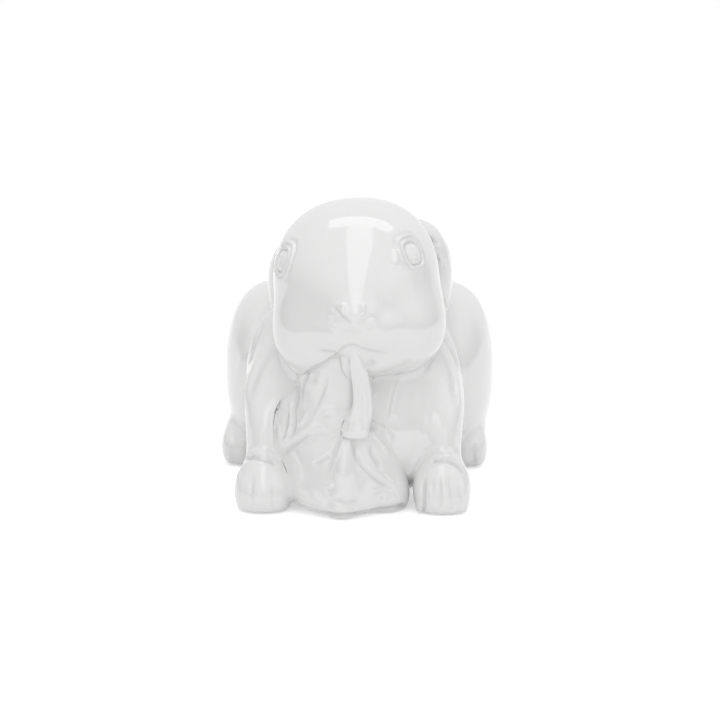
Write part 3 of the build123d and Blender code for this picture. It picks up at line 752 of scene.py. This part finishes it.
        ([(34.7, 134.1), (38.5, 127.7), (42.3, 120.2), (45.6, 112.5), (47.6, 104.9)], -1.1, 2.4, (0.2, 0.4)),
        ([(35.9, 134.6), (39.9, 131.7), (43.2, 128.8)], -1.2, 1.5, (0.3, 0.4)),
        ([(39.6, 125.4), (41.6, 121.9), (43.8, 117.6)], -0.8, 1.5, (0.3, 0.4)),
        ([(38.5, 137.2), (42.8, 132.6), (45.9, 126.1), (47.9, 118.4), (48.9, 109.4)], 0.6, 1.2, (0.25, 0.4)),
        ([(44.6, 101.6), (46.6, 96.8), (48.6, 93)], -1.3, 1.3, 0.3),
        ([(-41, 135.2), (-44.8, 129.4), (-47.6, 120.6), (-49, 111.6)], -0.7, 1, 0.3),
    ]),
    "hindFeet": (("hindFootLeft", "hindFootRight"), 0, [
        ([(63.4, 0), (63.3, 5.6), (62.8, 10.8)], -0.4, 0.9, (0.1, 0.4)),
        ([(69, 0), (68.9, 5.6), (68.2, 9.8)], -0.4, 0.9, (0.1, 0.4)),
    ]),
}

# Eyes: rings round each eye's middle, on the upright head. Each ring is (radius, height, width)
eyes = {
    "left": {"place": (30.6, -73.5, 131.4), "axis": (0.643, -0.766, 0.0), "noseward": -1},
    "right": {"place": (-37.6, -68.4, 131.8), "axis": (-0.788, -0.616, 0.0), "noseward": 1},
}
eyeball = {
    "squareness": 2.8, "tallness": 1.1, "radius": 4.7, "dome": 1.5, "sunk": 0.8,
    "mound": 0.9, "moundWidth": 8.5, "moundDepth": 11.0, "depthFade": 3,
    "foldAcross": 0.6, "foldUp": 0.8, "foldFrom": 0.45, "foldFade": 0.7,
}
eyeRings = [(5.0, -1.1, 0.45), (5.9, 1.05, 0.60), (6.9, -0.55, 0.45), (1.4, -0.35, 0.45)]
eyeFolds = [(7.9, 0.75, 0.75), (9.2, -0.65, 0.75)]      # only above the eye and towards the nose
# the last is the crease depth at which the creases' grey (pooled glaze and painted shade) is full
relief = {"finePerPoint": 6, "marginWidths": 3, "leastFacing": 0.02, "facingFade": 0.25, "poolAndShadeDepth": 1.2}


def seenAt(points, y):
    # (x, z) where the line of sight through each point meets the standing plane at y
    way = points - eyePoint
    return eyePoint[[0, 2]] + way[:, [0, 2]] * ((y - eyePoint[1]) / way[:, 1])[:, None]


def stroke(seen, line, height, width, ends):
    # height exp(-(d / w)^2), with d the distance to a smooth line and w its width on that side
    width, ends = (value if isinstance(value, tuple) else (value, value) for value in (width, ends))
    line = np.array(line, float)
    if len(line) > 2:
        run = np.concatenate([[0], np.cumsum(np.linalg.norm(np.diff(line, axis=0), axis=1))])
        line = smoothCurve(run, line)(np.linspace(0, run[-1], relief["finePerPoint"] * len(line)))[0]
    margin = relief["marginWidths"] * max(width)
    near = np.nonzero(((seen > line.min(0) - margin) & (seen < line.max(0) + margin)).all(1))[0]
    spot = seen[near]
    nearest, side, along = np.full(len(near), 1e9), np.zeros(len(near)), np.zeros(len(near))
    for number, (a, b) in enumerate(zip(line[:-1], line[1:])):
        way = b - a
        t = np.clip((spot - a) @ way / (way @ way), 0, 1)
        off = spot - a - t[:, None] * way
        distance = np.linalg.norm(off, axis=1)
        closer = distance < nearest
        nearest = np.where(closer, distance, nearest)
        side = np.where(closer, way[0] * off[:, 1] - way[1] * off[:, 0], side)
        along = np.where(closer, (number + t) / (len(line) - 1), along)
    w = np.where(side > 0, width[0], width[1])
    fade = smoothStep(along / ends[0]) * smoothStep((1 - along) / ends[1])
    made = np.zeros(len(seen))
    made[near] = height * np.exp(-(nearest / w)**2) * fade
    return made


def eyeHeight(points):
    # rings exp(-((r - radius) / width)^2) about each eye's axis, with a squarish r, and a dome
    # inside the lid
    q, ball = inHead(points), eyeball
    n = ball["squareness"]
    made = np.zeros(len(points))
    for eye in eyes.values():
        d = q - np.array(eye["place"])
        axis = np.array(eye["axis"]) / np.linalg.norm(eye["axis"])
        out = d @ axis
        across = d[:, 0] * -axis[1] + d[:, 1] * axis[0]
        up = d[:, 2]
        r = (np.abs(across)**n + np.abs(up / ball["tallness"])**n)**(1 / n)
        height = ball["mound"] * np.exp(-(r / ball["moundWidth"])**2)
        inside = np.clip(1 - (r / ball["radius"])**2, 0, None)
        height += np.where(r < ball["radius"], ball["dome"] * np.sqrt(inside) - ball["sunk"], 0)
        for radius, size, width in eyeRings:
            height += size * np.exp(-((r - radius) / width)**2)
        over = ball["foldAcross"] * eye["noseward"] * across + ball["foldUp"] * up
        over = smoothStep((over / (r + 0.01) + ball["foldFrom"]) / ball["foldFade"])
        for radius, size, width in eyeFolds:
            height += size * np.exp(-((r - radius) / width)**2) * over
        made += height * smoothStep((ball["moundDepth"] - np.abs(out)) / ball["depthFade"])
    return made


def pressed(name, points, normals):
    # the marks' heights where the skin faces the onlooker, and the eyes' on the head
    toEye = eyePoint - points
    facing = (normals * toEye).sum(1) / np.linalg.norm(toEye, axis=1)
    made = np.zeros(len(points))
    for pieceNames, y, lines in marks.values():
        if name in pieceNames:
            seen = seenAt(points, y)
            for line, height, width, ends in lines:
                made += stroke(seen, line, height, width, ends)
    made *= smoothStep((facing - relief["leastFacing"]) / relief["facingFade"])
    if name == "head":
        made += eyeHeight(points)
    return made


pieces = {}
for name, cast in castings.items():
    points, quads, caps = castForm(forms[name], cast)
    neighbours = [(forms[other], soft) for other, soft in cast["touches"].items()]
    points = glazeOver(points, forms[name], neighbours)
    normals = normalsOf(points, quads, caps)
    height = pressed(name, points, normals)
    points = points + normals * height[:, None]
    # crease depth, kept for the grey of the glaze in creases: pooled glaze and painted shade
    pieces[name] = makeMesh(name, points, quads, caps, np.clip(-height / relief["poolAndShadeDepth"], 0, 1))
    print("cast", name, len(points), "points")


# Felt: a flat pad with its edge rounded over, carried round a squarish oval

felt = {
    "halfWidth": 26.0, "halfLength": 46.0, "fullness": 2.6, "thickness": 1.0, "edge": 0.25,
    "turns": 200, "edgeSteps": 5, "insets": (30.0, 8.0), "mostInset": 0.92,
}


def feltMesh():
    # |x / a|^n + |y / b|^n = 1 scaled by the profile's reach, from the middle below to the middle above
    turn = np.arange(felt["turns"]) / felt["turns"] * 2 * math.pi
    power = 2 / felt["fullness"]
    x = np.sign(np.cos(turn)) * np.abs(np.cos(turn))**power * felt["halfWidth"]
    y = np.sign(np.sin(turn)) * np.abs(np.sin(turn))**power * felt["halfLength"]
    bend = np.linspace(0, math.pi / 2, felt["edgeSteps"])
    inwards = felt["edge"] * (1 - np.sin(bend))
    high = felt["edge"] * (1 - np.cos(bend))
    lower = [(inset, 0.0) for inset in felt["insets"]] + [*zip(inwards, high)]
    profile = lower + [(inset, felt["thickness"] - z) for inset, z in lower[::-1]]
    rings = []
    for inset, z in profile:
        share = 1 - min(inset / felt["halfWidth"], felt["mostInset"])
        rings.append(np.stack([x * share, y * share + work["feltPlace"][1], np.full(len(x), z)], 1))
    middle = [0.0, work["feltPlace"][1]]
    points = np.concatenate([[[*middle, 0.0]], *rings, [[*middle, felt["thickness"]]]])
    faces = facingOut(points, *gridFaces(len(rings), len(x)))
    return makeMesh("felt", points, *faces, np.zeros(len(points)))


pieces["felt"] = feltMesh()
castings["felt"] = {"replaces": "base_felt", "slot": "felt"}
print("laid the felt")


# Materials

class Shade:
    # one shader socket or number, with the sums written as expressions
    def __init__(self, maker, socket):
        self.maker, self.socket = maker, socket

    def sum(self, operation, *values):
        return self.maker.node("ShaderNodeMath", {"operation": operation}, *values)

    def __add__(self, other):
        return self.sum("ADD", self, other)

    def __sub__(self, other):
        return self.sum("SUBTRACT", self, other)

    def __rsub__(self, other):
        return self.sum("SUBTRACT", other, self)

    def __mul__(self, other):
        return self.sum("MULTIPLY", self, other)

    __radd__ = __add__
    __rmul__ = __mul__


class Maker:
    # a material's or world's node tree
    def __init__(self, owner):
        owner.use_nodes = True
        self.owner, self.tree = owner, owner.node_tree
        self.tree.nodes.clear()

    def mixColour(self, share, low, high):
        # the colours are this node's seventh and eighth sockets
        return self.node("ShaderNodeMix", {"data_type": "RGBA"}, share, *[None] * 5, low, high, out=2)

    def node(self, kind, settings=None, *values, out=0, **named):
        # values fill the sockets in order, None leaves one alone, and out is the output's number
        made = self.tree.nodes.new(kind)
        for key, value in (settings or {}).items():
            setattr(made, key, value)
        for key, value in [*enumerate(values), *named.items()]:
            socket = made.inputs[key if isinstance(key, int) else key.replace("_", " ")]
            if isinstance(value, Shade):
                self.tree.links.new(value.socket, socket)
            elif value is not None:
                socket.default_value = value
        return Shade(self, made.outputs[out]) if len(made.outputs) else made


def glazeMaterial(name, look):
    # greyer in the creases, partly as glaze that has run together there and partly as painted shade, and
    # faintly wavy on top
    material = bpy.data.materials.new(name)
    make = Maker(material)
    place = make.node("ShaderNodeTexCoord", out=3)
    slow = make.node("ShaderNodeTexNoise", None, place, None, look["slowScale"], look["slowDetail"])
    fine = make.node("ShaderNodeTexNoise", None, place, None, look["fineScale"], look["fineDetail"])
    poolAndShade = make.node("ShaderNodeAttribute", {"attribute_name": "poolAndShade"}, out=2)
    rough = look["roughness"] + (fine - 0.5) * look["roughnessSpread"]
    thin = make.mixColour(slow, look["thinColour"], look["thickColour"])
    # painted shade: the deeper a crease, the greyer its glaze, on top of the glaze that pooled there
    tint = make.mixColour(poolAndShade * look["poolAndShadeShare"], thin, look["poolAndShadeColour"])
    height = slow * look["slowHeight"] + fine * look["fineHeight"]
    bump = make.node("ShaderNodeBump", None, Strength=1.0, Distance=1.0, Height=height)
    surface = make.node(
        "ShaderNodeBsdfPrincipled", None, Base_Color=tint, Roughness=rough, Normal=bump, IOR=look["ior"],
    )
    make.node("ShaderNodeOutputMaterial", None, surface)
    return material


def feltMaterial(name, look):
    # pressed wool: fibres drawn out of noise stretched two ways, dull, with a soft sheen
    material = bpy.data.materials.new(name)
    make = Maker(material)
    place = make.node("ShaderNodeTexCoord", out=3)
    fibres = []
    for turn in look["fibreTurns"]:
        drawn = make.node("ShaderNodeMapping", None, place, None, (0, 0, turn), look["fibreStretch"])
        fibre = make.node("ShaderNodeTexNoise", None, drawn, None, look["fibreScale"], look["fibreDetail"])
        fibres.append(fibre)
    cloud = make.node("ShaderNodeTexNoise", None, place, None, look["cloudScale"], look["cloudDetail"])
    wool = fibres[0] * 0.5 + fibres[1] * 0.5
    pale = wool * look["woolShare"] + cloud * look["cloudShare"]
    tint = make.mixColour(pale, look["darkColour"], look["paleColour"])
    bump = make.node("ShaderNodeBump", None, Strength=1.0, Distance=1.0, Height=wool * look["fibreHeight"])
    surface = make.node(
        "ShaderNodeBsdfPrincipled", None, Base_Color=tint, Roughness=look["roughness"], Normal=bump,
        Sheen_Weight=look["sheen"],
    )
    make.node("ShaderNodeOutputMaterial", None, surface)
    return material


glazeLook = {
    "slowScale": 40.0, "slowDetail": 2.0, "fineScale": 900.0, "fineDetail": 3.0,
    "roughness": 0.07, "roughnessSpread": 0.03, "slowHeight": 0.00010, "fineHeight": 0.0000015,
    "ior": 1.65, "poolAndShadeShare": 0.55,
    "thinColour": (0.83, 0.83, 0.825, 1), "thickColour": (0.845, 0.845, 0.843, 1),
    # the grey of the creases: pooled glaze and painted crease shade
    "poolAndShadeColour": (0.66, 0.665, 0.66, 1),
}
leafLook = dict(glazeLook, slowScale=55.0, slowHeight=0.00008)
feltLook = {
    "fibreTurns": (0.5, 2.1), "fibreStretch": (1.0, 0.12, 1.0), "fibreScale": 1800.0, "fibreDetail": 3.0,
    "cloudScale": 220.0, "cloudDetail": 2.0, "woolShare": 0.7, "cloudShare": 0.3,
    "fibreHeight": 0.00015, "roughness": 0.95, "sheen": 0.25,
    "darkColour": (0.56, 0.56, 0.54, 1), "paleColour": (0.68, 0.68, 0.66, 1),
}
materials = {
    "glaze": glazeMaterial("white_glaze", glazeLook),
    "leaf_glaze": glazeMaterial("leaf_glaze", leafLook),
    "felt": feltMaterial("pressed_felt", feltLook),
}
for name, piece in pieces.items():
    cast = castings[name]
    piece.data.materials.append(materials[cast["slot"]])
    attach(piece, "root")
    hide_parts(cast["replaces"])
print("glazed", len(pieces) - 1, "castings")

# Room: a pale floor that runs out of sight, an even white tent, and soft boxes

room = {
    "lens": 100.0, "sensor": 36.0, "farthest": 50, "floorSize": 8.0, "floorRoughness": 0.9,
    "floorColour": (0.92, 0.92, 0.92, 1), "floorGlow": 0.44,
    "tent": 0.66, "tentLow": 0.14, "tentHigh": 0.95, "tentTurn": 0.60,
    "backShare": 1.0, "backFrom": 0.35, "backTo": 0.75, "lampAim": (0, 0, 0.08),
}
softboxes = [
    {"name": "overhead", "place": (0.04, 0.28, 1.50), "size": (1.15, 0.50), "power": 2.7},
    {"name": "front", "place": (0.0, -0.86, 1.30), "size": (0.52, 2.30), "power": 4.5},
    {"name": "rightWide", "place": (1.50, -0.80, 0.90), "size": (1.00, 1.00), "power": 1.1},
    {"name": "lowFront", "place": (0.0, -1.90, 0.42), "size": (2.20, 0.50), "power": 2.2},
]
aim = Vector((shift[0] / perMetre, shift[1] / perMetre, sight["aimZ"] / perMetre))
cameraData = bpy.data.cameras.new("camera")
cameraData.lens = room["lens"]
cameraData.sensor_width = room["sensor"]
cameraData.clip_end = room["farthest"]
camera = bpy.data.objects.new("camera", cameraData)
camera.location = (eyePoint + shift) / perMetre
camera.rotation_euler = (aim - camera.location).to_track_quat("-Z", "Y").to_euler()
bpy.context.scene.collection.objects.link(camera)
bpy.context.scene.camera = camera

half = room["floorSize"] / 2
floorMesh = bpy.data.meshes.new("floor")
floorCorners = [(-half, -half, 0), (half, -half, 0), (half, half, 0), (-half, half, 0)]
floorMesh.from_pydata(floorCorners, [], [(0, 1, 2, 3)])
floor = bpy.data.objects.new("floor", floorMesh)
bpy.context.scene.collection.objects.link(floor)
make = Maker(bpy.data.materials.new("paleFloor"))
seen = make.node("ShaderNodeLightPath", out=0) + make.node("ShaderNodeLightPath", out=3)
surface = make.node(
    "ShaderNodeBsdfPrincipled", None, Base_Color=room["floorColour"], Roughness=room["floorRoughness"],
    Emission_Color=(1, 1, 1, 1), Emission_Strength=seen * room["floorGlow"],
)
make.node("ShaderNodeOutputMaterial", None, surface)
floorMesh.materials.append(make.owner)

# The tent lights evenly. What the glaze mirrors of it is dimmer low down in front and white behind,
# and the onlooker sees plain white
world = bpy.data.worlds.new("tent")
bpy.context.scene.world = world
make = Maker(world)
onlooker = make.node("ShaderNodeLightPath", out=0)
mirror = make.node("ShaderNodeLightPath", out=3)
way = make.node("ShaderNodeTexCoord", out=0)
high = make.node("ShaderNodeSeparateXYZ", None, way, out=2)
back = make.node("ShaderNodeSeparateXYZ", None, way, out=1)
smooth = {"interpolation_type": "SMOOTHSTEP"}
rise = make.node("ShaderNodeMapRange", smooth, high, 0.0, room["tentTurn"], room["tentLow"], room["tentHigh"])
behind = make.node("ShaderNodeMapRange", smooth, back, room["backFrom"], room["backTo"], 0.0,
                   room["backShare"])
shine = rise + behind * (1 - rise)
strength = room["tent"] + onlooker * (1 - room["tent"]) + mirror * (shine - room["tent"])
make.node("ShaderNodeOutputWorld", None, make.node("ShaderNodeBackground", None, (1, 1, 1, 1), strength))


def softbox(name, place, size, power):
    data = bpy.data.lights.new(name, "AREA")
    data.shape = "RECTANGLE"
    data.size, data.size_y = size
    data.energy = power
    lamp = bpy.data.objects.new(name, data)
    lamp.location = place
    lamp.rotation_euler = (Vector(room["lampAim"]) - Vector(place)).to_track_quat("-Z", "Y").to_euler()
    lamp.visible_camera = False
    bpy.context.scene.collection.objects.link(lamp)


for box in softboxes:
    softbox(**box)
bpy.context.scene.view_settings.view_transform = "Standard"
print("room lit")
